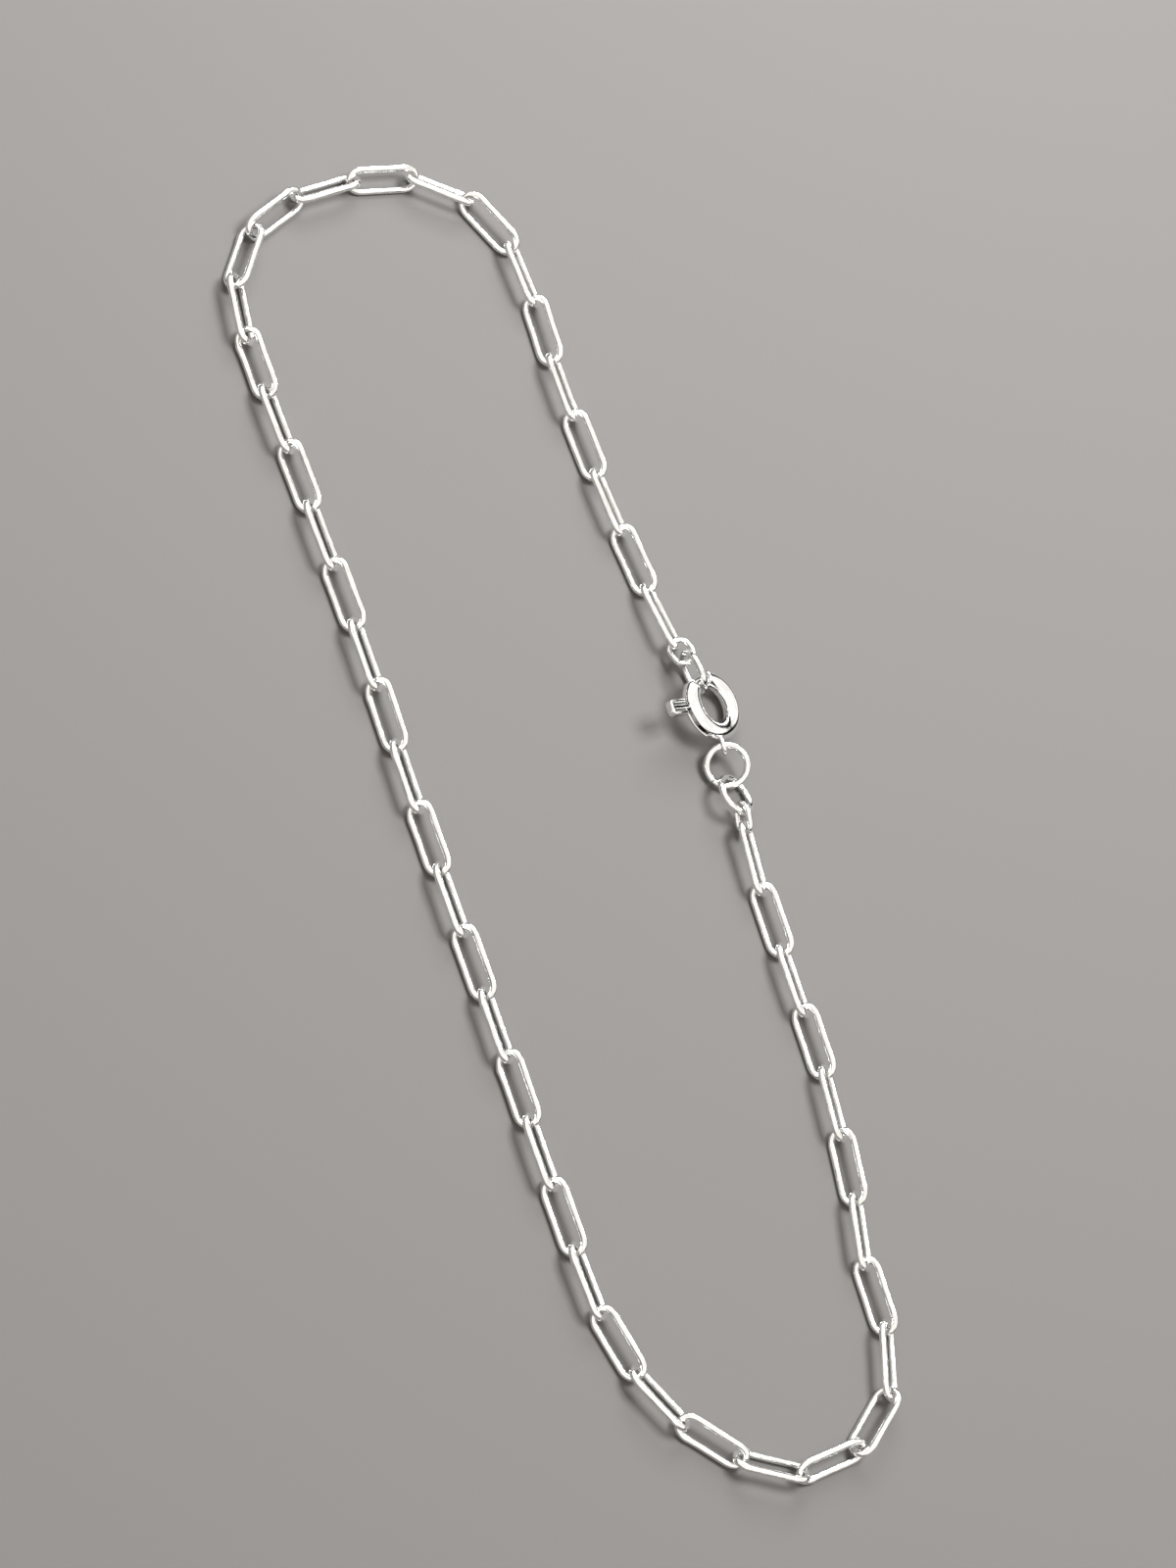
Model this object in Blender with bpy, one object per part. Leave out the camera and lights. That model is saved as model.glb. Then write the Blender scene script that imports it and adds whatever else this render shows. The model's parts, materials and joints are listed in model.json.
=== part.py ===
"""Padlock chain bracelet: long oval links in a closed loop, fastened by a bolt ring.

Metres, +Z up. The bracelet lies on the plane z = 0 with the loop's long axis along +Y. Seen from
above the pieces follow each other counterclockwise: 45 chain links, then a small end ring, two
jump rings, the bolt ring, the catch ring it hooks into, and the other small end ring.
"""

import math
from collections import namedtuple

import bmesh
import bpy
from mathutils import Matrix, Vector

MM = 0.001

# Chain link: straight sides with rounded ends, all sizes outside the wire
LINK_COUNT = 45
LINK_LENGTH = 5.35 * MM
LINK_WIDTH = 2.05 * MM
LINK_WIRE = 0.47 * MM
LINK_END_REACH = 1.00 * MM
LINK_END_FULLNESS = 2.25
LINK_ROLL = math.radians(45)

# Round jump rings, and the small oval rings on the chain's two ends
JUMP_RING_OUTER = 3.20 * MM
JUMP_RING_WIRE = 0.46 * MM
END_RING_LENGTH = 2.35 * MM
END_RING_WIDTH = 1.75 * MM
END_RING_WIRE = 0.40 * MM

# Bolt ring: angles are measured round the ring, from near the middle of its gap towards the trigger
BOLT_RING_OUTER = 5.00 * MM
BOLT_RING_TUBE = 1.20 * MM
TUBE_BORE = 0.74 * MM
GAP_ANGLE = math.radians(48)
GAP_MIDDLE = math.radians(7)
CATCH_ANGLE = math.radians(4)
BORE_DEPTH_ANGLE = math.radians(118)
SOCKET_DEPTH_ANGLE = math.radians(14)

# Sliding bolt and its trigger
BOLT_WIRE = 0.54 * MM
BOLT_TIP_IN_SOCKET = math.radians(7)
TRIGGER_ANGLE = math.radians(76)
TRIGGER_TRAVEL = math.radians(50)
BOLT_TAIL_ANGLE = math.radians(7)
STEM_WIDTH = 0.28 * MM
STEM_THICKNESS = 0.28 * MM
SLOT_CLEARANCE = 0.06 * MM
SLOT_END_ANGLE = math.radians(3)
KNOB_REACH = 1.85 * MM
KNOB_WIDTH = 1.06 * MM
KNOB_THICKNESS = 0.56 * MM
KNOB_WALL = 0.24 * MM
KNOB_CORNER = 0.30 * MM
KNOB_CLEARANCE = 0.12 * MM

# Eye soldered on the bolt ring, twisted out of the ring's plane
EYE_ANGLE = math.radians(162)
EYE_TWIST = math.radians(-40)
EYE_WIRE = 0.34 * MM
EYE_HOLE = 0.76 * MM

# Space left between wires that pass through each other
RUNNING_GAP = 0.06 * MM

# Middle line of the lying loop in millimetres, counterclockwise from the first link
ROUTE = (
    (10.75, 8.4), (10.4, 12.8), (10.1, 17.2), (9.85, 23.0), (9.85, 30.0), (10.1, 34.5),
    (9.9, 38.9), (8.1, 42.6), (4.8, 44.9), (0.5, 45.5), (-3.8, 45.1), (-7.8, 43.3),
    (-10.2, 40.1), (-10.8, 36.2), (-10.8, 32.2), (-10.6, 24.0), (-10.5, 13.0), (-10.7, 2.3),
    (-10.7, -10.6), (-10.8, -23.3), (-10.7, -31.9), (-9.8, -36.2), (-8.0, -40.0),
    (-5.2, -43.3), (-1.6, -45.5), (2.6, -45.4), (6.1, -43.0), (7.6, -39.0), (7.8, -34.8),
    (8.8, -30.6), (9.5, -26.2), (10.0, -22.0), (10.2, -17.0), (10.45, -9.0), (10.8, -4.9),
    (11.05, -2.0), (11.25, 1.5), (11.15, 5.0),
)
ROUTE_STEPS = 24

# Stretches where the links lie pushed together, with the loose play at each link in millimetres
SlackStretch = namedtuple("SlackStretch", "first_link last_link play_mm")
SLACK = (
    SlackStretch(7, 8, 0.04),
    SlackStretch(9, 9, 0.20),
    SlackStretch(10, 12, 0.03),
    SlackStretch(13, 13, 0.21),
    SlackStretch(14, 15, 0.36),
    SlackStretch(16, 16, 0.21),
    SlackStretch(17, 31, 0.06),
    SlackStretch(32, 35, 0.05),
    SlackStretch(36, 39, 0.09),
    SlackStretch(40, 45, 0.08),
)

# Heights of the joints at the chain's two ends, lifted by the upright rings there
FIRST_JOINT_HEIGHT = 1.14 * MM
LAST_JOINT_HEIGHT = 1.02 * MM

# Pieces of the clasp after the last link: how far each is rolled about the chain's line, from
# lying flat with its inner side up, its loose play in millimetres, and the height in millimetres
# of the joint after it
ClaspPiece = namedtuple("ClaspPiece", "node shape roll_deg play_mm next_height_mm")
CLASP_PIECES = (
    ClaspPiece("end_ring_clasp_side", "end_ring", 100, 0.18, 1.36),
    ClaspPiece("joining_ring", "jump_ring", 31, 0.06, 0.84),
    ClaspPiece("eye_ring", "jump_ring", 154, 0.06, 1.46),
    ClaspPiece("bolt_ring", "bolt_ring", 24, 0.08, 1.62),
    ClaspPiece("catch_ring", "jump_ring", 83, 0.24, 1.72),
    ClaspPiece("end_ring_hook_side", "end_ring", 144, 0.04, 1.14),
)

# Facets: path segments of each rounded link end and ring, and of the bolt ring's tube
LINK_END_SEGMENTS = 6
RING_SEGMENTS = 14
OVAL_SEGMENT_ANGLE = math.radians(30)
TUBE_SEGMENT_ANGLE = math.radians(10)
WIRE_RESOLUTION = 1
TUBE_RESOLUTION = 4
BOLT_RESOLUTION = 2
# A six-sided wire has a corner facing outwards: this turn puts a flat side down on a rolled link
FLAT_DOWN_TURN = math.radians(15)
CUT_MARGIN = 0.3 * MM
MERGE_DISTANCE = 0.0005 * MM

Frame = namedtuple("Frame", "origin along across normal")


def clear_scene():
    for item in list(bpy.data.objects):
        bpy.data.objects.remove(item)


def new_collection(name):
    collection = bpy.data.collections.new(name)
    bpy.context.scene.collection.children.link(collection)
    return collection


def metal(name, colour, roughness):
    material = bpy.data.materials.new(name)
    material.use_nodes = True
    shader = material.node_tree.nodes["Principled BSDF"]
    shader.inputs["Base Color"].default_value = (*colour, 1.0)
    shader.inputs["Metallic"].default_value = 1.0
    shader.inputs["Roughness"].default_value = roughness
    return material


def wire_curve(name, points, diameter, resolution, closed, turn=0.0):
    """Curve data of a round wire along points, as an open or closed polyline."""
    curve = bpy.data.curves.new(name, "CURVE")
    curve.dimensions = "3D"
    curve.twist_mode = "Z_UP"
    spline = curve.splines.new("POLY")
    spline.points.add(len(points) - 1)
    for spline_point, place in zip(spline.points, points):
        spline_point.co = (*place, 1.0)
        spline_point.tilt = turn
    spline.use_cyclic_u = closed
    curve.bevel_depth = diameter / 2
    curve.bevel_resolution = resolution
    curve.use_fill_caps = not closed
    return curve


def flat_plate(name, outline, thickness):
    """Curve data of a flat plate in the XY plane, centred on z = 0."""
    curve = bpy.data.curves.new(name, "CURVE")
    curve.dimensions = "2D"
    curve.fill_mode = "BOTH"
    spline = curve.splines.new("POLY")
    spline.points.add(len(outline) - 1)
    for spline_point, (x, y) in zip(spline.points, outline):
        spline_point.co = (x, y, 0.0, 1.0)
    spline.use_cyclic_u = True
    curve.extrude = thickness / 2
    return curve


def as_mesh(curve):
    """Closed mesh of a curve, with its caps welded on."""
    carrier = bpy.data.objects.new(curve.name, curve)
    bpy.context.scene.collection.objects.link(carrier)
    evaluated = carrier.evaluated_get(bpy.context.evaluated_depsgraph_get())
    mesh = bpy.data.meshes.new_from_object(evaluated)
    mesh.name = curve.name
    bpy.data.objects.remove(carrier)
    shape = bmesh.new()
    shape.from_mesh(mesh)
    bmesh.ops.remove_doubles(shape, verts=shape.verts, dist=MERGE_DISTANCE)
    bmesh.ops.recalc_face_normals(shape, faces=shape.faces)
    shape.to_mesh(mesh)
    shape.free()
    return mesh


def add_object(name, data, collection, material=None, matrix=None, parent=None):
    piece = bpy.data.objects.new(name, data)
    collection.objects.link(piece)
    piece.parent = parent
    if matrix is not None:
        piece.matrix_local = matrix
    if material is not None:
        data.materials.clear()
        data.materials.append(material)
    return piece


def add_helper(name, mesh, collection, matrix, parent):
    helper = add_object(name, mesh, collection, matrix=matrix, parent=parent)
    helper.hide_render = True
    helper.display_type = "WIRE"
    return helper


def combine(piece, helper, operation):
    modifier = piece.modifiers.new(helper.name, "BOOLEAN")
    modifier.operation = operation
    modifier.object = helper


def arc(radius, start, end, step=TUBE_SEGMENT_ANGLE):
    """Points from one angle to another round the z axis."""
    count = max(2, math.ceil(abs(end - start) / step))
    angles = [start + (end - start) * index / count for index in range(count + 1)]
    return [Vector((radius * math.cos(angle), radius * math.sin(angle), 0.0)) for angle in angles]


def link_path():
    """Middle line of one link's wire, counterclockwise in its own XY plane, along X."""
    half_length = (LINK_LENGTH - LINK_WIRE) / 2
    half_width = (LINK_WIDTH - LINK_WIRE) / 2
    points = []
    for side in (1, -1):
        for index in range(LINK_END_SEGMENTS + 1):
            angle = math.pi * index / LINK_END_SEGMENTS - math.pi / 2
            reach = max(0.0, math.cos(angle)) ** (2 / LINK_END_FULLNESS)
            spread = abs(math.sin(angle)) ** (2 / LINK_END_FULLNESS)
            x = half_length - LINK_END_REACH + LINK_END_REACH * reach
            y = math.copysign(half_width * spread, angle)
            points.append(Vector((side * x, side * y, 0.0)))
    return points


def ring_path(outer, wire):
    """Middle line of a round ring's wire."""
    return arc((outer - wire) / 2, 0.0, 2 * math.pi, 2 * math.pi / RING_SEGMENTS)[:-1]


def oval_path(length, width, wire):
    """Middle line of an oval ring along X: two half rounds joined by straight sides."""
    shift = Vector(((length - width) / 2, 0.0, 0.0))
    half_turn = arc((width - wire) / 2, -math.pi / 2, math.pi / 2, OVAL_SEGMENT_ANGLE)
    right = [shift + point for point in half_turn]
    return right + [-point for point in right]


def smooth_loop(points, steps):
    """Closed Catmull-Rom curve through points, as a dense list of places."""
    curve = []
    count = len(points)
    for index in range(count):
        before, start, end, after = (points[(index + shift) % count] for shift in (-1, 0, 1, 2))
        for step in range(steps):
            t = step / steps
            place = 2 * start + (end - before) * t
            place += (2 * before - 5 * start + 4 * end - after) * t ** 2
            place += (3 * start - before - 3 * end + after) * t ** 3
            curve.append(place / 2)
    return curve


def next_joint(curve, place, segment, distance):
    """First place further along the closed curve that lies at a straight distance."""
    count = len(curve)
    while (curve[(segment + 1) % count] - place).length < distance:
        segment += 1
    near = curve[segment % count] if (curve[segment % count] - place).length < distance else place
    far = curve[(segment + 1) % count]
    low, high = 0.0, 1.0
    for _ in range(40):
        middle = (low + high) / 2
        if (near.lerp(far, middle) - place).length < distance:
            low = middle
        else:
            high = middle
    return near.lerp(far, high), segment


def lap(curve, distances):
    """Joint places at the given distances, and how many segments of the curve they use."""
    place = curve[0]
    segment = 0
    joints = [place]
    for distance in distances:
        place, segment = next_joint(curve, place, segment, distance)
        joints.append(place)
    last = curve[segment % len(curve)]
    following = curve[(segment + 1) % len(curve)]
    part = (place - last).length / (following - last).length
    return joints, segment + part


def close_loop(distances):
    """Joints of a loop of the route's shape, scaled so that the pieces just close it."""
    shape = smooth_loop([Vector(point) * MM for point in ROUTE], ROUTE_STEPS)
    low, high = 0.3, 3.0
    for _ in range(40):
        scale = (low + high) / 2
        joints, used = lap([place * scale for place in shape], distances)
        if used > len(shape):
            low = scale
        else:
            high = scale
    joints[-1] = joints[0]
    return joints


def wire_step(length, wire):
    """Distance between the joints at the two ends of a closed wire of this outer length."""
    return length - 2 * wire - RUNNING_GAP


def bolt_ring_radius():
    return (BOLT_RING_OUTER - BOLT_RING_TUBE) / 2


def bolt_ring_joints():
    """Where the eye ring and the catch ring pull on the bolt ring, in its own frame."""
    eye_reach = BOLT_RING_OUTER / 2 + EYE_HOLE - RUNNING_GAP / 2
    gap_reach = bolt_ring_radius() - BOLT_WIRE / 2 - RUNNING_GAP / 2
    eye = Matrix.Rotation(EYE_ANGLE, 3, "Z") @ Vector((eye_reach, 0.0, 0.0))
    gap = Matrix.Rotation(CATCH_ANGLE, 3, "Z") @ Vector((gap_reach, 0.0, 0.0))
    return eye, gap


def piece_step(shape):
    if shape == "link":
        return wire_step(LINK_LENGTH, LINK_WIRE)
    if shape == "jump_ring":
        return wire_step(JUMP_RING_OUTER, JUMP_RING_WIRE)
    if shape == "end_ring":
        return wire_step(END_RING_LENGTH, END_RING_WIRE)
    eye, gap = bolt_ring_joints()
    return (gap - eye).length


def link_height():
    """Height of a rolled link's middle when the flat side of its low wire lies on z = 0."""
    flat_radius = LINK_WIRE / 2 * math.cos(math.pi / 6)
    return (LINK_WIDTH - LINK_WIRE) / 2 * math.sin(LINK_ROLL) + flat_radius


def piece_frame(start, end, roll):
    """Frame between two joints: along the chain, across in the piece's plane, and its normal."""
    along = (end - start).normalized()
    inward = Vector((0.0, 0.0, 1.0)).cross(along).normalized()
    upward = along.cross(inward)
    across = inward * math.cos(roll) + upward * math.sin(roll)
    return Frame((start + end) / 2, along, across, along.cross(across))


def frame_matrix(frame):
    columns = Matrix((frame.along, frame.across, frame.normal)).transposed()
    return Matrix.Translation(frame.origin) @ columns.to_4x4()


def link_matrix(start, end, inner_side_up):
    """A link's place, its wire's flat side turned down whichever bar is the low one."""
    roll = LINK_ROLL if inner_side_up else -LINK_ROLL
    return frame_matrix(piece_frame(start, end, roll))


def bolt_ring_matrix(start, end, roll):
    """The bolt ring's place: its own joints lie in line with the chain's."""
    eye, gap = bolt_ring_joints()
    own_along = (gap - eye).normalized()
    own_across = Vector((0.0, 0.0, 1.0)).cross(own_along)
    own_frame = Matrix((own_along, own_across, Vector((0.0, 0.0, 1.0))))
    frame = frame_matrix(piece_frame(start, end, roll))
    return frame @ own_frame.to_4x4() @ Matrix.Translation(-(eye + gap) / 2)


def annular_sector(inner, outer, start, end):
    points = arc(outer, start, end) + arc(inner, end, start)
    return [(point.x, point.y) for point in points]


def bolt_ring_body(collection, cutters, material, matrix, parent):
    """Bent tube with a gap, a bore for the sliding bolt, a slot for the trigger, and an eye."""
    radius = bolt_ring_radius()
    gap_end = GAP_MIDDLE + GAP_ANGLE / 2
    gap_start = GAP_MIDDLE - GAP_ANGLE / 2 + 2 * math.pi
    margin = CUT_MARGIN / radius
    tube = as_mesh(wire_curve("bolt_ring_tube", arc(radius, gap_end, gap_start),
                              BOLT_RING_TUBE, TUBE_RESOLUTION, closed=False))
    body = add_object("bolt_ring_body", tube, collection, material, matrix, parent)

    bore = arc(radius, gap_end - margin, gap_end + BORE_DEPTH_ANGLE)
    bore = as_mesh(wire_curve("bore", bore, TUBE_BORE, TUBE_RESOLUTION - 1, closed=False))
    combine(body, add_helper("bore", bore, cutters, matrix, parent), "DIFFERENCE")

    socket = arc(radius, gap_start - SOCKET_DEPTH_ANGLE, gap_start + margin)
    socket = as_mesh(wire_curve("socket", socket, TUBE_BORE, TUBE_RESOLUTION - 1, closed=False))
    combine(body, add_helper("socket", socket, cutters, matrix, parent), "DIFFERENCE")

    slot_margin = SLOT_END_ANGLE + STEM_WIDTH / 2 / radius
    slot = annular_sector(radius, BOLT_RING_OUTER / 2 + CUT_MARGIN, TRIGGER_ANGLE - slot_margin,
                          TRIGGER_ANGLE + TRIGGER_TRAVEL + slot_margin)
    slot = as_mesh(flat_plate("slot", slot, STEM_THICKNESS + 2 * SLOT_CLEARANCE))
    combine(body, add_helper("slot", slot, cutters, matrix, parent), "DIFFERENCE")

    eye_ring = as_mesh(wire_curve("eye", ring_path(EYE_HOLE + 2 * EYE_WIRE, EYE_WIRE),
                                  EYE_WIRE, BOLT_RESOLUTION, closed=True))
    eye_place = Vector((BOLT_RING_OUTER / 2 + EYE_HOLE / 2, 0.0, 0.0))
    eye_matrix = matrix @ Matrix.Rotation(EYE_ANGLE, 4, "Z") @ Matrix.Translation(eye_place)
    eye_matrix = eye_matrix @ Matrix.Rotation(EYE_TWIST, 4, "X")
    combine(body, add_helper("eye", eye_ring, cutters, eye_matrix, parent), "UNION")
    return body


def rounded_knob_outline(reach_start, reach_end, half_width):
    """Outline of the trigger's knob along X: a U-bent strip round the end of the stem."""
    corner = Vector((reach_end - KNOB_CORNER, half_width - KNOB_CORNER, 0.0))
    corner_points = [corner + point for point in arc(KNOB_CORNER, math.pi / 2, 0.0, math.pi / 8)]
    stem_half = STEM_WIDTH / 2
    inner_reach = reach_end - KNOB_WALL
    inner_half = half_width - KNOB_WALL
    upper = [(reach_start, stem_half), (inner_reach, stem_half), (inner_reach, inner_half),
             (reach_start + KNOB_WALL, inner_half), (reach_start + KNOB_WALL, half_width)]
    upper += [(point.x, point.y) for point in corner_points]
    lower = [(x, -y) for x, y in reversed(upper)]
    return upper + lower


def trigger_bolt(collection, cutters, material, hinge):
    """Curved sliding bolt with the stem and knob of its trigger, on the ring's own axis."""
    radius = bolt_ring_radius()
    tip = GAP_MIDDLE - GAP_ANGLE / 2 - BOLT_TIP_IN_SOCKET
    bolt = as_mesh(wire_curve("sliding_bolt", arc(radius, tip, TRIGGER_ANGLE + BOLT_TAIL_ANGLE),
                              BOLT_WIRE, BOLT_RESOLUTION, closed=False))
    trigger = add_object("trigger_bolt", bolt, collection, material, Matrix.Identity(4), hinge)

    knob_start = BOLT_RING_OUTER / 2 + KNOB_CLEARANCE
    turned = Matrix.Rotation(TRIGGER_ANGLE, 4, "Z")
    stem_half = STEM_WIDTH / 2
    stem_end = knob_start + KNOB_WALL
    stem = [(radius, -stem_half), (stem_end, -stem_half), (stem_end, stem_half), (radius, stem_half)]
    stem = as_mesh(flat_plate("stem", stem, STEM_THICKNESS))
    combine(trigger, add_helper("stem", stem, cutters, turned, hinge), "UNION")

    knob = rounded_knob_outline(knob_start, BOLT_RING_OUTER / 2 + KNOB_REACH, KNOB_WIDTH / 2)
    knob = as_mesh(flat_plate("knob", knob, KNOB_THICKNESS))
    combine(trigger, add_helper("knob", knob, cutters, turned, hinge), "UNION")
    return trigger


def add_empty(name, collection, matrix, parent):
    empty = bpy.data.objects.new(name, None)
    collection.objects.link(empty)
    empty.parent = parent
    empty.matrix_local = matrix
    return empty


def link_play(number):
    """How much closer together than pulled tight the two ends of a link lie."""
    return sum(part.play_mm for part in SLACK if part.first_link <= number <= part.last_link) * MM


def loop_joints():
    """Every joint of the closed loop, at its height, from the first link round to it again."""
    distances = [piece_step("link") - link_play(number) for number in range(1, LINK_COUNT + 1)]
    heights = [FIRST_JOINT_HEIGHT] + [link_height()] * (LINK_COUNT - 1) + [LAST_JOINT_HEIGHT]
    for piece in CLASP_PIECES:
        following = piece.next_height_mm * MM
        rise = following - heights[-1]
        step = piece_step(piece.shape) - piece.play_mm * MM
        distances.append(math.sqrt(step ** 2 - rise ** 2))
        heights.append(following)
    return [place.to_3d() + Vector((0.0, 0.0, height))
            for place, height in zip(close_loop(distances), heights)]


def add_links(collection, material, joints, parent):
    wire = wire_curve("link_wire", link_path(), LINK_WIRE, WIRE_RESOLUTION, True, FLAT_DOWN_TURN)
    for number in range(1, LINK_COUNT + 1):
        matrix = link_matrix(joints[number - 1], joints[number], number % 2 == 1)
        add_object(f"link_{number:02d}", wire, collection, material, matrix, parent)


def add_clasp(collection, cutters, materials, joints, parent):
    ring_paths = {
        "jump_ring": (ring_path(JUMP_RING_OUTER, JUMP_RING_WIRE), JUMP_RING_WIRE),
        "end_ring": (oval_path(END_RING_LENGTH, END_RING_WIDTH, END_RING_WIRE), END_RING_WIRE),
    }
    wires = {shape: wire_curve(shape + "_wire", path, wire, WIRE_RESOLUTION, True)
             for shape, (path, wire) in ring_paths.items()}
    for index, piece in enumerate(CLASP_PIECES):
        start, end = joints[LINK_COUNT + index], joints[LINK_COUNT + index + 1]
        roll = math.radians(piece.roll_deg)
        if piece.shape in wires:
            matrix = frame_matrix(piece_frame(start, end, roll))
            add_object(piece.node, wires[piece.shape], collection, materials["rings"], matrix, parent)
        else:
            matrix = bolt_ring_matrix(start, end, roll)
            bolt_ring_body(collection, cutters, materials["clasp"], matrix, parent)
            hinge = add_empty("trigger_hinge", collection, matrix, parent)
            trigger_bolt(collection, cutters, materials["trigger"], hinge)


def shade_smooth(collection):
    for piece in collection.objects:
        if piece.type == "MESH":
            piece.data.shade_smooth()


def centre_on_origin(collection, root):
    """Move the whole bracelet so that the middle of its bounding box stands on the origin."""
    bpy.context.view_layer.update()
    depsgraph = bpy.context.evaluated_depsgraph_get()
    corners = []
    for piece in collection.objects:
        if piece.type != "EMPTY":
            evaluated = piece.evaluated_get(depsgraph)
            mesh = evaluated.to_mesh()
            corners += [piece.matrix_world @ vertex.co for vertex in mesh.vertices]
            evaluated.to_mesh_clear()
    for axis in range(2):
        values = [corner[axis] for corner in corners]
        root.location[axis] = -(min(values) + max(values)) / 2


def main():
    clear_scene()
    collection = new_collection("padlock_chain_bracelet")
    cutters = new_collection("cutters")
    materials = {
        "links": metal("polished_silver_links", (0.93, 0.93, 0.92), 0.12),
        "rings": metal("polished_silver_rings", (0.92, 0.92, 0.91), 0.14),
        "clasp": metal("polished_silver_clasp", (0.94, 0.94, 0.93), 0.06),
        "trigger": metal("polished_silver_trigger", (0.90, 0.90, 0.89), 0.16),
    }
    root = add_empty("bracelet_root", collection, Matrix.Identity(4), None)
    joints = loop_joints()
    add_links(collection, materials["links"], joints, root)
    add_clasp(collection, cutters, materials, joints, root)
    shade_smooth(collection)
    centre_on_origin(collection, root)


main()
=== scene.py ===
"""Padlock chain bracelet: its fine metal shapes, polished silver, light and camera.

Metres, +Z up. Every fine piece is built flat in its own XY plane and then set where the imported
solid of the same piece lies, so the chain keeps the loop that the solids make.
"""

import json
import math
import random
from collections import namedtuple

import bmesh
import bpy
import numpy as np
from mathutils import Matrix, Vector

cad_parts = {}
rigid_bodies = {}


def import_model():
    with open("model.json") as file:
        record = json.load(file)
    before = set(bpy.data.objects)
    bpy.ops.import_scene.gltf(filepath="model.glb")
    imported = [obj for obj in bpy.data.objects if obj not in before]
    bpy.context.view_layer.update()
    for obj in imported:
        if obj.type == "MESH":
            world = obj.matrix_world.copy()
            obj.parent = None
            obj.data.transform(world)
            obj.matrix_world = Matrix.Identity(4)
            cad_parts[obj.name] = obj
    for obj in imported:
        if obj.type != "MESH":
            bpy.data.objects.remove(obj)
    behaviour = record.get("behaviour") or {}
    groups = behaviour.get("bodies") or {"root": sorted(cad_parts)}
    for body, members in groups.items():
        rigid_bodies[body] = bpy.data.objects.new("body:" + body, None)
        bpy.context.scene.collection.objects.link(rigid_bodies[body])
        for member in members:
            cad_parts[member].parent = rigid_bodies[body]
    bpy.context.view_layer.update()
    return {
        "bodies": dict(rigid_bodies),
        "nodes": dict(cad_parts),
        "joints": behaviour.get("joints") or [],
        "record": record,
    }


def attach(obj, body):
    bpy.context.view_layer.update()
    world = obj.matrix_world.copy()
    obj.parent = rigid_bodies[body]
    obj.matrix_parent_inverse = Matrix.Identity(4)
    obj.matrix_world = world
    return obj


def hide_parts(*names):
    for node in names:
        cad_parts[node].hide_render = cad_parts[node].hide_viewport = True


MM = 0.001

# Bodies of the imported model
CHAIN_BODY = "bracelet"
TRIGGER_BODY = "trigger"

# Chain link: straight sides with rounded ends, all sizes outside the wire
LINK_COUNT = 45
LINK_LENGTH = 5.35 * MM
LINK_WIDTH = 2.05 * MM
LINK_WIRE = 0.47 * MM
LINK_END_REACH = 1.00 * MM
LINK_END_FULLNESS = 2.25
LINK_WAIST = 0.02 * MM
LINK_WAIST_VARIATION = (-0.5, 1.5)
LINK_WIRE_UNEVENNESS = 0.012
LINK_WIRE_WAVES = 7

# Solder joint on one shoulder of each link: place round the wire's path, length and swelling
SOLDER_PLACE = 0.845
SOLDER_LENGTH = 0.26 * MM
SOLDER_SWELLING = 0.14
SOLDER_VARIATION = 0.10

# Rings
JUMP_RING_OUTER = 3.20 * MM
JUMP_RING_WIRE = 0.46 * MM
END_RING_LENGTH = 2.35 * MM
END_RING_WIDTH = 1.75 * MM
END_RING_WIRE = 0.40 * MM
RING_CUT = 0.05 * MM
RING_CUT_ROUNDING = 0.03 * MM
JOINING_RING_CUT_ANGLE = math.radians(-70)
EYE_RING_CUT_ANGLE = math.radians(120)

# Bolt ring: angles are measured round the ring, from near the middle of its gap towards the trigger
BOLT_RING_OUTER = 5.00 * MM
BOLT_RING_TUBE = 1.20 * MM
TUBE_BORE = 0.74 * MM
TUBE_LIP = 0.09 * MM
BORE_LIP = 0.03 * MM
GAP_ANGLE = math.radians(48)
GAP_MIDDLE = math.radians(7)
BORE_DEPTH_ANGLE = math.radians(118)
SOCKET_DEPTH_ANGLE = math.radians(14)

# Sliding bolt and its trigger
BOLT_WIRE = 0.54 * MM
BOLT_ROUNDING = BOLT_WIRE / 5
BOLT_TIP_IN_SOCKET = math.radians(7)
TRIGGER_ANGLE = math.radians(76)
TRIGGER_TRAVEL = math.radians(50)
BOLT_TAIL_ANGLE = math.radians(7)
STEM_WIDTH = 0.28 * MM
STEM_THICKNESS = 0.28 * MM
SLOT_CLEARANCE = 0.06 * MM
SLOT_END_ANGLE = math.radians(3)
KNOB_REACH = 1.85 * MM
KNOB_WIDTH = 1.06 * MM
KNOB_THICKNESS = 0.56 * MM
KNOB_WALL = 0.24 * MM
KNOB_CORNER = 0.30 * MM
KNOB_CLEARANCE = 0.12 * MM
KNOB_EDGE = 0.07 * MM

# Eye soldered on the bolt ring, twisted out of the ring's plane
EYE_ANGLE = math.radians(162)
EYE_TWIST = math.radians(-40)
EYE_WIRE = 0.34 * MM
EYE_HOLE = 0.76 * MM

# Fineness of the shapes
LINK_END_SEGMENTS = 22
LINK_BAR_SEGMENTS = 10
OVAL_END_SEGMENTS = 24
LINK_SIDES = 20
RING_SEGMENTS = 96
RING_SIDES = 24
TUBE_SEGMENT_ANGLE = math.radians(3)
TUBE_SIDES = 48
BOLT_SIDES = 24
LIP_STEPS = 5
KNOB_CORNER_STEPS = 8
EDGE_STEPS = 3
MERGE_DISTANCE = 0.0005 * MM
CUT_MARGIN = 0.3 * MM

# Reading a solid's place: decimals at which two corners are the same place, and how many times the
# spread across a piece its spread along must be for the piece to count as long
PLACE_DECIMALS = 9
LONG_SPREAD_RATIO = 1.5

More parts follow.
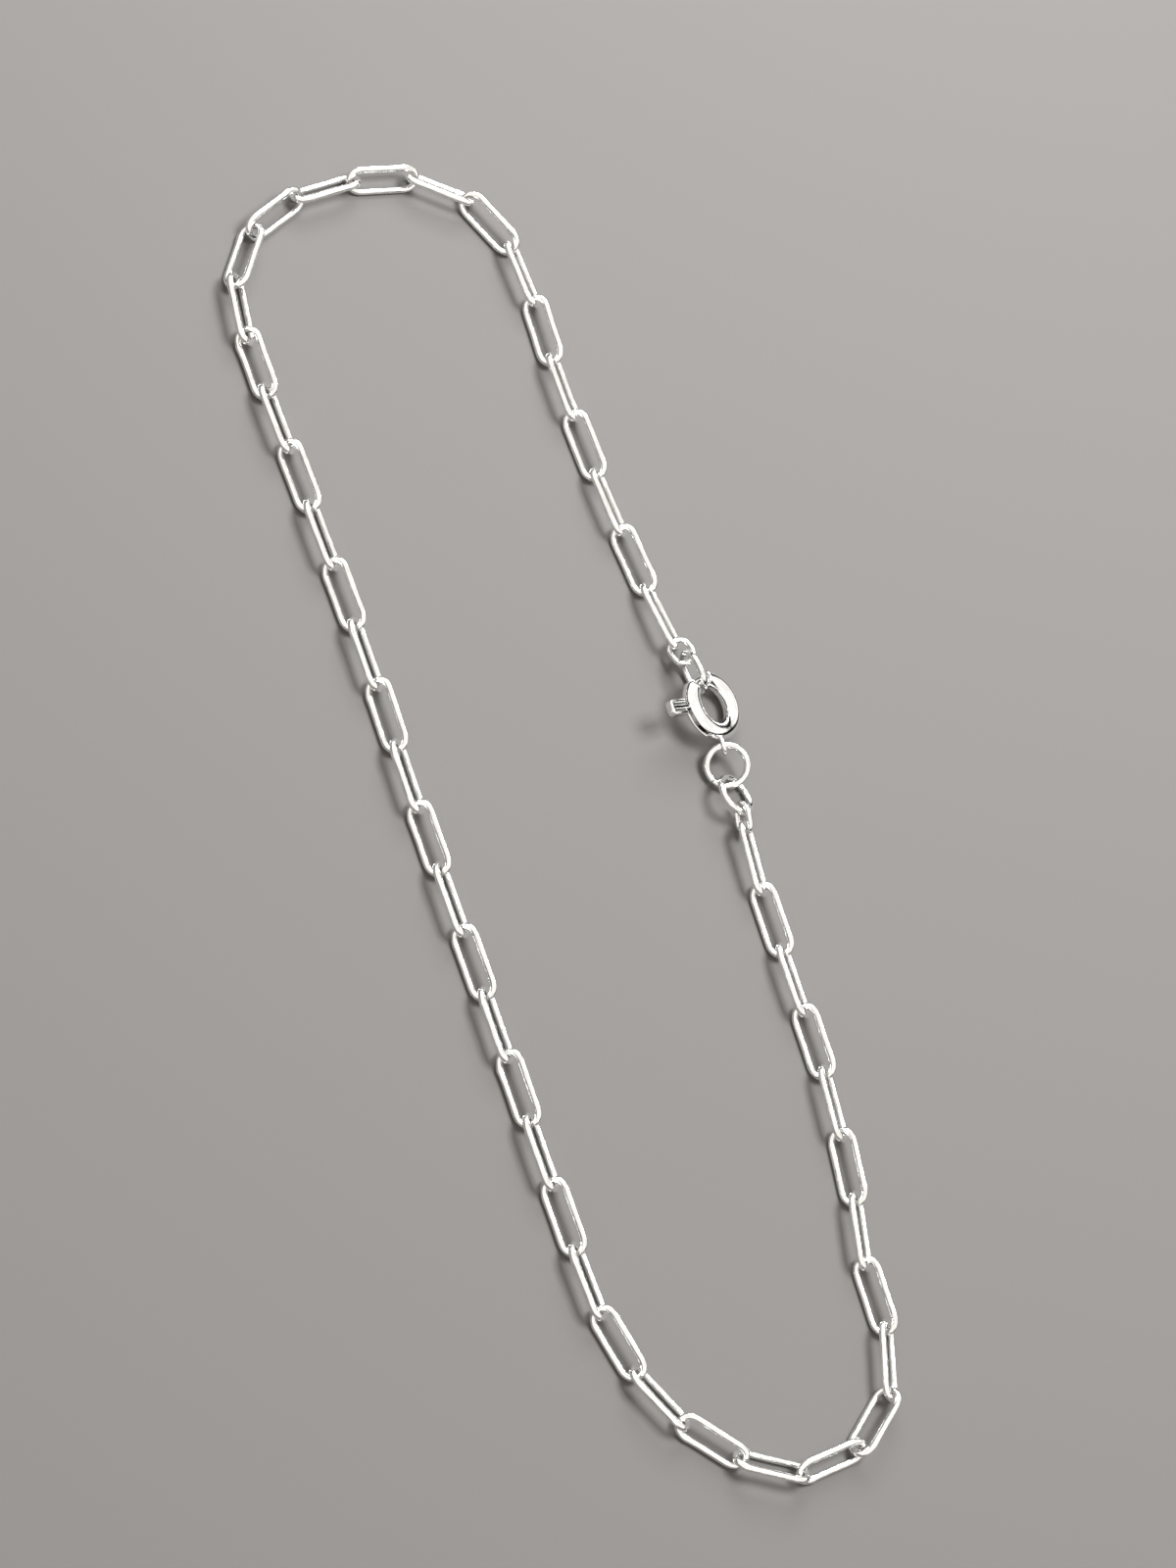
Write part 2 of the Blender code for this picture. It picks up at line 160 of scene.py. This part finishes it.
# Camera, as the photograph was taken: place, turn and lens for a 36 mm long side
CAMERA_PLACE = (-0.0966151, -0.0431343, 0.2039712)
CAMERA_TURN_DEG = (19.3840, -20.0395, -21.3143)
CAMERA_LENS = 80.1
CAMERA_SENSOR = 36.0
CAMERA_CLIP_START = 0.01
CAMERA_CLIP_END = 20.0

# Floor and light
FLOOR_SIZE = 6.0
FLOOR_COLOUR = (0.0995, 0.0911, 0.0846)
FLOOR_ROUGHNESS = 0.9

Station = namedtuple("Station", "centre outward radius")
Light = namedtuple("Light", "name azimuth_deg elevation_deg distance width height power colour")
Noise = namedtuple("Noise", "scale detail")
Metal = namedtuple("Metal", "bright dull roughness relief_depth")

# Noise patterns of the silver, their scales per metre except the streaks', which are set along and
# across the wire in millimetres
TARNISH = Noise(900.0, 4.0)
TARNISH_SPREAD = (0.35, 0.6)
WEAR = Noise(2600.0, 6.0)
WEAR_SPREAD = (0.35, 0.7)
STREAKS = Noise(1.0, 5.0)
STREAK_STRETCH = (0.6, 14.0, 1.0)

# Dents, and how deep they are beside the drawing streaks
DENTS = Noise(1300.0, 2.0)
DENT_SHARE = 3.0

# The four polishes: colour where bright and where dull, range of roughness, depth of the relief
LINK_METAL = Metal((0.97, 0.965, 0.95), (0.90, 0.89, 0.87), (0.04, 0.12), 0.008 * MM)
RING_METAL = Metal((0.96, 0.955, 0.94), (0.88, 0.87, 0.85), (0.04, 0.12), 0.007 * MM)
CLASP_METAL = Metal((0.97, 0.965, 0.955), (0.92, 0.91, 0.90), (0.02, 0.06), 0.004 * MM)
TRIGGER_METAL = Metal((0.95, 0.945, 0.93), (0.86, 0.85, 0.83), (0.06, 0.15), 0.004 * MM)

# Lights: angles in degrees, distance and size in metres, power in watts
LIGHTS = (
    Light("key", 8, 70, 0.36, 0.13, 0.13, 2.5, (0.95, 1.0, 1.05)),
    Light("far_side", 66, 38, 0.22, 0.14, 0.10, 0.6, (0.95, 1.0, 1.05)),
)

# Sky: bright dome over a dark band of walls, as pairs of a direction's height and its grey
SKY_STRENGTH = 1.08
SKY_TINT = (1.0, 0.97, 0.94)
SKY_BANDS = ((0.0, 0.5), (0.015, 0.02), (0.22, 0.01), (0.29, 1.0), (1.0, 1.0))
SKY_CLOUDS = Noise(2.2, 2.0)
SKY_CLOUD_SPREAD = (0.35, 0.65)
SKY_CLOUD_RANGE = (0.86, 1.12)


def noise_wave(generator, count, waves):
    """A closed smooth random curve of mean zero, sampled at count places."""
    phases = [generator.uniform(0, 2 * math.pi) for _ in range(waves)]
    values = []
    for index in range(count):
        turn = 2 * math.pi * index / count
        values.append(sum(math.sin((wave + 1) * turn + phase) / (wave + 1)
                          for wave, phase in enumerate(phases)))
    return values


def closed_stations(path, radii):
    """Stations of a closed flat wire, each with its outward direction across the path."""
    count = len(path)
    stations = []
    for index in range(count):
        tangent = path[(index + 1) % count] - path[index - 1]
        outward = tangent.cross(Vector((0.0, 0.0, 1.0))).normalized()
        stations.append(Station(path[index], outward, radii[index]))
    return stations


def ring_station(ring_radius, angle, radius):
    outward = Vector((math.cos(angle), math.sin(angle), 0.0))
    return Station(outward * ring_radius, outward, radius)


def swept_mesh(name, stations, sides, closed):
    """Round wire or tube through stations, with its length and girth in millimetres as UVs."""
    across = [2 * math.pi * side / sides for side in range(sides)]
    places = []
    for station in stations:
        for angle in across:
            offset = station.outward * math.cos(angle) + Vector((0.0, 0.0, math.sin(angle)))
            places.append(station.centre + offset * station.radius)
    count = len(stations)
    steps = count if closed else count - 1
    lengths = [0.0]
    for index in range(steps):
        move = stations[(index + 1) % count].centre - stations[index].centre
        swell = stations[(index + 1) % count].radius - stations[index].radius
        lengths.append(lengths[-1] + math.hypot(move.length, swell))
    girth = 2 * math.pi * max(station.radius for station in stations)
    faces = []
    coordinates = []
    for index in range(steps):
        following = (index + 1) % count
        for side in range(sides):
            beside = (side + 1) % sides
            faces.append((index * sides + side, following * sides + side,
                          following * sides + beside, index * sides + beside))
            low = girth * side / sides / MM
            high = girth * (side + 1) / sides / MM
            near = lengths[index] / MM
            far = lengths[index + 1] / MM
            coordinates += [(near, low), (far, low), (far, high), (near, high)]
    mesh = bpy.data.meshes.new(name)
    mesh.from_pydata(places, [], faces)
    layer = mesh.uv_layers.new(name="wire")
    for loop, coordinate in zip(layer.data, coordinates):
        loop.uv = coordinate
    weld(mesh)
    return mesh


def weld(mesh):
    shape = bmesh.new()
    shape.from_mesh(mesh)
    bmesh.ops.remove_doubles(shape, verts=shape.verts, dist=MERGE_DISTANCE)
    bmesh.ops.recalc_face_normals(shape, faces=shape.faces)
    shape.to_mesh(mesh)
    shape.free()
    mesh.shade_smooth()


def add_piece(name, mesh, material, matrix):
    mesh.transform(matrix)
    mesh.materials.clear()
    mesh.materials.append(material)
    piece = bpy.data.objects.new(name, mesh)
    bpy.context.scene.collection.objects.link(piece)
    return piece


def rest_on_floor(piece):
    lowest = min(vertex.co.z for vertex in piece.data.vertices)
    piece.data.transform(Matrix.Translation((0.0, 0.0, max(0.0, -lowest))))


def hand_over(piece, body, node):
    """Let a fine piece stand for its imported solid."""
    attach(piece, body)
    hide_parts(node)


def combine(piece, other, operation):
    """Join another object's shape to a piece or cut it out, and remove that object."""
    modifier = piece.modifiers.new("combine", "BOOLEAN")
    modifier.operation = operation
    modifier.solver = "EXACT"
    modifier.object = other
    bpy.context.view_layer.update()
    evaluated = piece.evaluated_get(bpy.context.evaluated_depsgraph_get())
    mesh = bpy.data.meshes.new_from_object(evaluated)
    piece.modifiers.clear()
    piece.data = mesh
    bpy.data.objects.remove(other)


def node_places(node):
    places = [tuple(vertex.co) for vertex in node.data.vertices]
    return np.unique(np.round(places, PLACE_DECIMALS), axis=0)


def wire_frame(node, towards):
    """Place of a flat wire piece: its middle, long axis and normal, read from its solid.

    A round ring has no long axis, so its X axis is the direction towards, laid in its plane.
    """
    places = node_places(node)
    middle = places.mean(axis=0)
    spread, axes = np.linalg.eigh(np.cov((places - middle).T))
    normal = Vector(axes[:, 0])
    if normal.z < 0:
        normal.negate()
    along = Vector(axes[:, 2])
    if spread[2] < LONG_SPREAD_RATIO * spread[1]:
        along = towards - normal * towards.dot(normal)
    if along.dot(towards) < 0:
        along.negate()
    along.normalize()
    columns = Matrix((along, normal.cross(along), normal)).transposed()
    return Matrix.Translation(middle) @ columns.to_4x4()


def bolt_ring_frame(trigger_node, joint):
    """Place of the bolt ring: its centre and axis are the trigger's, X points at its gap."""
    centre = Vector(joint["pos_m"])
    axis = Vector(joint["axis"]).normalized()
    places = [Vector(place) - centre for place in node_places(trigger_node)]
    flat = [place - axis * place.dot(axis) for place in places]
    reach = max(place.length for place in flat)
    knob_end = [place for place in flat if place.length > reach - KNOB_WALL]
    to_trigger = sum(knob_end, Vector()).normalized()
    to_gap = Matrix.Rotation(-TRIGGER_ANGLE, 3, axis) @ to_trigger
    columns = Matrix((to_gap, axis.cross(to_gap), axis)).transposed()
    return Matrix.Translation(centre) @ columns.to_4x4()


def link_path(waist):
    """Middle line of one link's wire, counterclockwise in its own XY plane, along X."""
    half_length = (LINK_LENGTH - LINK_WIRE) / 2
    half_width = (LINK_WIDTH - LINK_WIRE) / 2
    bar_half = half_length - LINK_END_REACH
    points = []
    for side in (1, -1):
        for index in range(LINK_END_SEGMENTS + 1):
            angle = math.pi * index / LINK_END_SEGMENTS - math.pi / 2
            reach = max(0.0, math.cos(angle)) ** (2 / LINK_END_FULLNESS)
            spread = abs(math.sin(angle)) ** (2 / LINK_END_FULLNESS)
            x = bar_half + LINK_END_REACH * reach
            y = math.copysign(half_width * spread, angle)
            points.append(Vector((side * x, side * y, 0.0)))
        for index in range(1, LINK_BAR_SEGMENTS):
            along = 1 - 2 * index / LINK_BAR_SEGMENTS
            dip = waist * math.cos(math.pi / 2 * along) ** 2
            points.append(Vector((side * bar_half * along, side * (half_width - dip), 0.0)))
    return points


def link_mesh(number):
    """Fine mesh of one link, with its own small unevenness and its solder joint."""
    generator = random.Random(number)
    path = link_path(LINK_WAIST * generator.uniform(*LINK_WAIST_VARIATION))
    count = len(path)
    wave = noise_wave(generator, count, LINK_WIRE_WAVES)
    solder = path[round(SOLDER_PLACE * count) % count]
    swelling = SOLDER_SWELLING + generator.uniform(-1, 1) * SOLDER_VARIATION
    radii = []
    for index in range(count):
        distance = (path[index] - solder).length
        bulge = swelling * math.exp(-(distance / SOLDER_LENGTH) ** 2)
        radii.append(LINK_WIRE / 2 * (1 + bulge + LINK_WIRE_UNEVENNESS * wave[index]))
    return swept_mesh(f"chain_link_{number:02d}", closed_stations(path, radii), LINK_SIDES, True)


def ring_mesh(name, outer, wire, cut_angle):
    """Round ring, soldered shut, or cut across at an angle with softly rounded cut faces."""
    radius = (outer - wire) / 2
    if cut_angle is None:
        angles = [2 * math.pi * index / RING_SEGMENTS for index in range(RING_SEGMENTS)]
        stations = [ring_station(radius, angle, wire / 2) for angle in angles]
        return swept_mesh(name, stations, RING_SIDES, True)
    half_cut = RING_CUT / 2 / radius
    start = cut_angle + half_cut
    end = cut_angle + 2 * math.pi - half_cut
    stations = rounded_end(radius, start, 1, wire / 2, RING_CUT_ROUNDING)
    margin = RING_CUT_ROUNDING / radius
    inner = end - start - 2 * margin
    for index in range(1, RING_SEGMENTS):
        angle = start + margin + inner * index / RING_SEGMENTS
        stations.append(ring_station(radius, angle, wire / 2))
    stations += reversed(rounded_end(radius, end, -1, wire / 2, RING_CUT_ROUNDING))
    return swept_mesh(name, stations, RING_SIDES, False)


def jump_ring_mesh(name, cut_angle):
    return ring_mesh(name, JUMP_RING_OUTER, JUMP_RING_WIRE, cut_angle)


def oval_ring_mesh(name):
    """Small oval ring, soldered shut: two half rounds joined by straight sides, along X."""
    radius = (END_RING_WIDTH - END_RING_WIRE) / 2
    shift = Vector(((END_RING_LENGTH - END_RING_WIDTH) / 2, 0.0, 0.0))
    right = []
    for index in range(OVAL_END_SEGMENTS + 1):
        angle = math.pi * (index / OVAL_END_SEGMENTS - 0.5)
        right.append(shift + radius * Vector((math.cos(angle), math.sin(angle), 0.0)))
    path = right + [-point for point in right]
    radii = [END_RING_WIRE / 2] * len(path)
    return swept_mesh(name, closed_stations(path, radii), RING_SIDES, True)


def rounded_end(ring_radius, angle, direction, wire_radius, rounding):
    """Stations of a wire's flat end face and the rounding at its rim."""
    stations = [ring_station(ring_radius, angle, 0.0)]
    for step in range(LIP_STEPS + 1):
        turn = math.pi / 2 * step / LIP_STEPS
        back = rounding * (1 - math.cos(turn)) / ring_radius
        radius = wire_radius - rounding + rounding * math.sin(turn)
        stations.append(ring_station(ring_radius, angle + direction * back, radius))
    return stations


def arc_angles(start, end):
    count = max(2, math.ceil(abs(end - start) / TUBE_SEGMENT_ANGLE))
    return [start + (end - start) * index / count for index in range(count + 1)]


def tube_lip(ring_radius, angle, direction):
    """Stations from the bore round a gap's lip to the tube's outside, direction away from the gap."""
    stations = []
    for step in range(LIP_STEPS + 1):
        turn = math.pi / 2 * step / LIP_STEPS
        back = BORE_LIP * (1 - math.sin(turn)) / ring_radius
        radius = TUBE_BORE / 2 + BORE_LIP * (1 - math.cos(turn))
        stations.append(ring_station(ring_radius, angle + direction * back, radius))
    for step in range(LIP_STEPS + 1):
        turn = math.pi / 2 * step / LIP_STEPS
        back = TUBE_LIP * (1 - math.cos(turn)) / ring_radius
        radius = BOLT_RING_TUBE / 2 - TUBE_LIP * (1 - math.sin(turn))
        stations.append(ring_station(ring_radius, angle + direction * back, radius))
    return stations


def bolt_ring_stations():
    """One sweep: from the bore's end out through the gap, round the tube, and into the socket."""
    ring_radius = (BOLT_RING_OUTER - BOLT_RING_TUBE) / 2
    gap_end = GAP_MIDDLE + GAP_ANGLE / 2
    gap_start = GAP_MIDDLE - GAP_ANGLE / 2 + 2 * math.pi
    bore_end = gap_end + BORE_DEPTH_ANGLE
    socket_end = gap_start - SOCKET_DEPTH_ANGLE
    bore_margin = BORE_LIP / ring_radius
    tube_margin = TUBE_LIP / ring_radius
    stations = [ring_station(ring_radius, bore_end, 0.0)]
    for angle in arc_angles(bore_end, gap_end + bore_margin)[:-1]:
        stations.append(ring_station(ring_radius, angle, TUBE_BORE / 2))
    stations += tube_lip(ring_radius, gap_end, 1)
    for angle in arc_angles(gap_end + tube_margin, gap_start - tube_margin)[1:-1]:
        stations.append(ring_station(ring_radius, angle, BOLT_RING_TUBE / 2))
    stations += reversed(tube_lip(ring_radius, gap_start, -1))
    for angle in arc_angles(gap_start - bore_margin, socket_end)[1:]:
        stations.append(ring_station(ring_radius, angle, TUBE_BORE / 2))
    stations.append(ring_station(ring_radius, socket_end, 0.0))
    return stations


def flat_plate(name, outline, thickness, edge):
    """Mesh of a flat plate in the XY plane with rounded edges, inside its outline."""
    curve = bpy.data.curves.new(name, "CURVE")
    curve.dimensions = "2D"
    curve.fill_mode = "BOTH"
    spline = curve.splines.new("POLY")
    spline.points.add(len(outline) - 1)
    for spline_point, (x, y) in zip(spline.points, outline):
        spline_point.co = (x, y, 0.0, 1.0)
    spline.use_cyclic_u = True
    curve.extrude = thickness / 2 - edge
    curve.bevel_depth = edge
    curve.bevel_resolution = EDGE_STEPS
    curve.offset = -edge
    carrier = bpy.data.objects.new(name, curve)
    bpy.context.scene.collection.objects.link(carrier)
    evaluated = carrier.evaluated_get(bpy.context.evaluated_depsgraph_get())
    mesh = bpy.data.meshes.new_from_object(evaluated)
    bpy.data.objects.remove(carrier)
    weld(mesh)
    return mesh


def slot_outline():
    """Outline of the trigger's slot, seen along the ring's axis, out through the tube's wall."""
    ring_radius = (BOLT_RING_OUTER - BOLT_RING_TUBE) / 2
    margin = SLOT_END_ANGLE + STEM_WIDTH / 2 / ring_radius
    angles = arc_angles(TRIGGER_ANGLE - margin, TRIGGER_ANGLE + TRIGGER_TRAVEL + margin)
    outer = BOLT_RING_OUTER / 2 + CUT_MARGIN
    outline = [(outer * math.cos(angle), outer * math.sin(angle)) for angle in angles]
    outline += [(ring_radius * math.cos(angle), ring_radius * math.sin(angle))
                for angle in reversed(angles)]
    return outline


def knob_outline():
    """Outline of the trigger's knob along X: a U-bent strip round the end of the stem."""
    reach_start = BOLT_RING_OUTER / 2 + KNOB_CLEARANCE
    reach_end = BOLT_RING_OUTER / 2 + KNOB_REACH
    half_width = KNOB_WIDTH / 2
    stem_half = STEM_WIDTH / 2
    inner_reach = reach_end - KNOB_WALL
    inner_half = half_width - KNOB_WALL
    upper = [(reach_start, stem_half), (inner_reach, stem_half), (inner_reach, inner_half),
             (reach_start + KNOB_WALL, inner_half), (reach_start + KNOB_WALL, half_width)]
    for step in range(KNOB_CORNER_STEPS + 1):
        angle = math.pi / 2 * (1 - step / KNOB_CORNER_STEPS)
        upper.append((reach_end - KNOB_CORNER + KNOB_CORNER * math.cos(angle),
                      half_width - KNOB_CORNER + KNOB_CORNER * math.sin(angle)))
    return upper + [(x, -y) for x, y in reversed(upper)]


def bolt_ring(frame, material):
    """Polished tube ring with its slot cut and its eye soldered on."""
    mesh = swept_mesh("clasp_tube", bolt_ring_stations(), TUBE_SIDES, False)
    body = add_piece("clasp_tube", mesh, material, frame)
    slot = flat_plate("slot", slot_outline(), STEM_THICKNESS + 2 * SLOT_CLEARANCE, 0.0)
    combine(body, add_piece("slot", slot, material, frame), "DIFFERENCE")
    eye = ring_mesh("eye", EYE_HOLE + 2 * EYE_WIRE, EYE_WIRE, None)
    eye_place = Matrix.Rotation(EYE_ANGLE, 4, "Z")
    eye_place @= Matrix.Translation((BOLT_RING_OUTER / 2 + EYE_HOLE / 2, 0.0, 0.0))
    eye_place @= Matrix.Rotation(EYE_TWIST, 4, "X")
    combine(body, add_piece("eye", eye, material, frame @ eye_place), "UNION")
    return body


def trigger_bolt(frame, material):
    """Curved sliding bolt with a round nose, its stem and its bent knob."""
    ring_radius = (BOLT_RING_OUTER - BOLT_RING_TUBE) / 2
    tip = GAP_MIDDLE - GAP_ANGLE / 2 - BOLT_TIP_IN_SOCKET
    tail = TRIGGER_ANGLE + BOLT_TAIL_ANGLE
    margin = BOLT_ROUNDING / ring_radius
    stations = rounded_end(ring_radius, tip, 1, BOLT_WIRE / 2, BOLT_ROUNDING)
    for angle in arc_angles(tip + margin, tail - margin)[1:-1]:
        stations.append(ring_station(ring_radius, angle, BOLT_WIRE / 2))
    stations += reversed(rounded_end(ring_radius, tail, -1, BOLT_WIRE / 2, BOLT_ROUNDING))
    mesh = swept_mesh("clasp_trigger", stations, BOLT_SIDES, False)
    trigger = add_piece("clasp_trigger", mesh, material, frame)
    turned = frame @ Matrix.Rotation(TRIGGER_ANGLE, 4, "Z")
    half = STEM_WIDTH / 2
    stem_end = BOLT_RING_OUTER / 2 + KNOB_CLEARANCE + KNOB_WALL
    stem_outline = [(ring_radius, -half), (stem_end, -half), (stem_end, half), (ring_radius, half)]
    stem = flat_plate("stem", stem_outline, STEM_THICKNESS, 0.0)
    combine(trigger, add_piece("stem", stem, material, turned), "UNION")
    knob = flat_plate("knob", knob_outline(), KNOB_THICKNESS, KNOB_EDGE)
    combine(trigger, add_piece("knob", knob, material, turned), "UNION")
    return trigger


def add_node(tree, kind, place, **values):
    node = tree.nodes.new(kind)
    node.location = place
    for name, value in values.items():
        setattr(node, name, value)
    return node


def add_noise(tree, place, vector, noise):
    node = add_node(tree, "ShaderNodeTexNoise", place)
    node.inputs["Scale"].default_value = noise.scale
    node.inputs["Detail"].default_value = noise.detail
    tree.links.new(vector, node.inputs["Vector"])
    return node.outputs["Fac"]


def add_map_range(tree, place, value, source, target):
    node = add_node(tree, "ShaderNodeMapRange", place)
    node.inputs["From Min"].default_value = source[0]
    node.inputs["From Max"].default_value = source[1]
    node.inputs["To Min"].default_value = target[0]
    node.inputs["To Max"].default_value = target[1]
    tree.links.new(value, node.inputs["Value"])
    return node.outputs["Result"]


def silver(name, metal):
    """Polished silver: drawing streaks along the wire, fine wear and a faint warm tarnish."""
    material = bpy.data.materials.new(name)
    material.use_nodes = True
    tree = material.node_tree
    shader = tree.nodes["Principled BSDF"]
    shader.inputs["Metallic"].default_value = 1.0
    link = tree.links.new
    place = add_node(tree, "ShaderNodeTexCoord", (-1300, 0))

    tarnish = add_noise(tree, (-900, 250), place.outputs["Object"], TARNISH)
    tint = add_node(tree, "ShaderNodeValToRGB", (-600, 300))
    for element, position, colour in zip(tint.color_ramp.elements, TARNISH_SPREAD,
                                         (metal.dull, metal.bright)):
        element.position = position
        element.color = (*colour, 1.0)
    link(tarnish, tint.inputs["Fac"])
    link(tint.outputs["Color"], shader.inputs["Base Color"])

    wear = add_noise(tree, (-900, -50), place.outputs["Object"], WEAR)
    rough = add_map_range(tree, (-600, 0), wear, WEAR_SPREAD, metal.roughness)
    link(rough, shader.inputs["Roughness"])

    stretch = add_node(tree, "ShaderNodeMapping", (-1100, -350))
    stretch.inputs["Scale"].default_value = STREAK_STRETCH
    link(place.outputs["UV"], stretch.inputs["Vector"])
    streaks = add_noise(tree, (-900, -350), stretch.outputs["Vector"], STREAKS)
    dents = add_noise(tree, (-900, -600), place.outputs["Object"], DENTS)
    height = add_node(tree, "ShaderNodeMath", (-600, -400), operation="MULTIPLY_ADD")
    link(dents, height.inputs[0])
    height.inputs[1].default_value = DENT_SHARE
    link(streaks, height.inputs[2])
    relief = add_node(tree, "ShaderNodeBump", (-300, -300))
    relief.inputs["Strength"].default_value = 1.0
    relief.inputs["Distance"].default_value = metal.relief_depth
    link(height.outputs["Value"], relief.inputs["Height"])
    link(relief.outputs["Normal"], shader.inputs["Normal"])
    return material


def paper(name):
    material = bpy.data.materials.new(name)
    material.use_nodes = True
    shader = material.node_tree.nodes["Principled BSDF"]
    shader.inputs["Base Color"].default_value = (*FLOOR_COLOUR, 1.0)
    shader.inputs["Roughness"].default_value = FLOOR_ROUGHNESS
    return material


def add_floor():
    mesh = bpy.data.meshes.new("floor")
    shape = bmesh.new()
    bmesh.ops.create_grid(shape, x_segments=1, y_segments=1, size=FLOOR_SIZE / 2)
    shape.to_mesh(mesh)
    shape.free()
    add_piece("floor", mesh, paper("pale_floor"), Matrix.Identity(4))


def add_lights():
    for light in LIGHTS:
        data = bpy.data.lights.new(light.name, "AREA")
        data.shape = "RECTANGLE"
        data.size = light.width
        data.size_y = light.height
        data.energy = light.power
        data.color = light.colour
        lamp = bpy.data.objects.new(light.name, data)
        bpy.context.scene.collection.objects.link(lamp)
        azimuth = math.radians(light.azimuth_deg)
        elevation = math.radians(light.elevation_deg)
        away = Vector((math.cos(azimuth) * math.cos(elevation),
                       math.sin(azimuth) * math.cos(elevation), math.sin(elevation)))
        lamp.location = away * light.distance
        lamp.rotation_euler = away.to_track_quat("Z", "Y").to_euler()


def add_world():
    """Soft studio sky: its grey depends on the height of a direction and on faint clouds."""
    world = bpy.data.worlds.new("studio")
    world.use_nodes = True
    tree = world.node_tree
    link = tree.links.new
    place = add_node(tree, "ShaderNodeTexCoord", (-1300, 0))
    height = add_node(tree, "ShaderNodeSeparateXYZ", (-1050, 100))
    link(place.outputs["Generated"], height.inputs["Vector"])
    bands = add_node(tree, "ShaderNodeValToRGB", (-600, 100))
    ramp = bands.color_ramp
    while len(ramp.elements) < len(SKY_BANDS):
        ramp.elements.new(1.0)
    for element, (position, grey) in zip(ramp.elements, SKY_BANDS):
        element.position = position
        element.color = (*(grey * part for part in SKY_TINT), 1.0)
    link(height.outputs["Z"], bands.inputs["Fac"])
    clouds = add_noise(tree, (-800, -300), place.outputs["Generated"], SKY_CLOUDS)
    cover = add_map_range(tree, (-600, -300), clouds, SKY_CLOUD_SPREAD, SKY_CLOUD_RANGE)
    shade = add_node(tree, "ShaderNodeVectorMath", (-300, 0), operation="SCALE")
    link(bands.outputs["Color"], shade.inputs[0])
    link(cover, shade.inputs["Scale"])
    background = tree.nodes["Background"]
    background.inputs["Strength"].default_value = SKY_STRENGTH
    link(shade.outputs["Vector"], background.inputs["Color"])
    bpy.context.scene.world = world


def add_camera():
    data = bpy.data.cameras.new("camera")
    data.sensor_width = CAMERA_SENSOR
    data.lens = CAMERA_LENS
    data.clip_start = CAMERA_CLIP_START
    data.clip_end = CAMERA_CLIP_END
    camera = bpy.data.objects.new("camera", data)
    bpy.context.scene.collection.objects.link(camera)
    camera.location = CAMERA_PLACE
    camera.rotation_euler = [math.radians(turn) for turn in CAMERA_TURN_DEG]
    bpy.context.scene.camera = camera


def add_bracelet(frame):
    nodes = frame["nodes"]
    links = silver("silver_links", LINK_METAL)
    rings = silver("silver_rings", RING_METAL)
    clasp = silver("silver_clasp", CLASP_METAL)
    trigger = silver("silver_trigger", TRIGGER_METAL)

    names = [f"link_{number:02d}" for number in range(1, LINK_COUNT + 1)]
    names += ["end_ring_clasp_side", "joining_ring", "eye_ring", "bolt_ring_body", "catch_ring",
              "end_ring_hook_side"]
    middles = [Vector(node_places(nodes[name]).mean(axis=0)) for name in names]
    towards = {name: middles[(index + 1) % len(names)] - middles[index - 1]
               for index, name in enumerate(names)}
    for number in range(1, LINK_COUNT + 1):
        name = f"link_{number:02d}"
        place = wire_frame(nodes[name], towards[name])
        piece = add_piece("chain_" + name, link_mesh(number), links, place)
        rest_on_floor(piece)
        hand_over(piece, CHAIN_BODY, name)

    ring_meshes = {
        "end_ring_clasp_side": oval_ring_mesh("end_ring_clasp_side"),
        "joining_ring": jump_ring_mesh("joining_ring", JOINING_RING_CUT_ANGLE),
        "eye_ring": jump_ring_mesh("eye_ring", EYE_RING_CUT_ANGLE),
        "catch_ring": jump_ring_mesh("catch_ring", None),
        "end_ring_hook_side": oval_ring_mesh("end_ring_hook_side"),
    }
    for name, mesh in ring_meshes.items():
        place = wire_frame(nodes[name], towards[name])
        piece = add_piece("fine_" + name, mesh, rings, place)
        hand_over(piece, CHAIN_BODY, name)

    place = bolt_ring_frame(nodes["trigger_bolt"], frame["joints"][0])
    hand_over(bolt_ring(place, clasp), CHAIN_BODY, "bolt_ring_body")
    hand_over(trigger_bolt(place, trigger), TRIGGER_BODY, "trigger_bolt")


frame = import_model()
add_camera()
add_floor()
add_lights()
add_world()
add_bracelet(frame)
bpy.context.scene.view_settings.view_transform = "Standard"
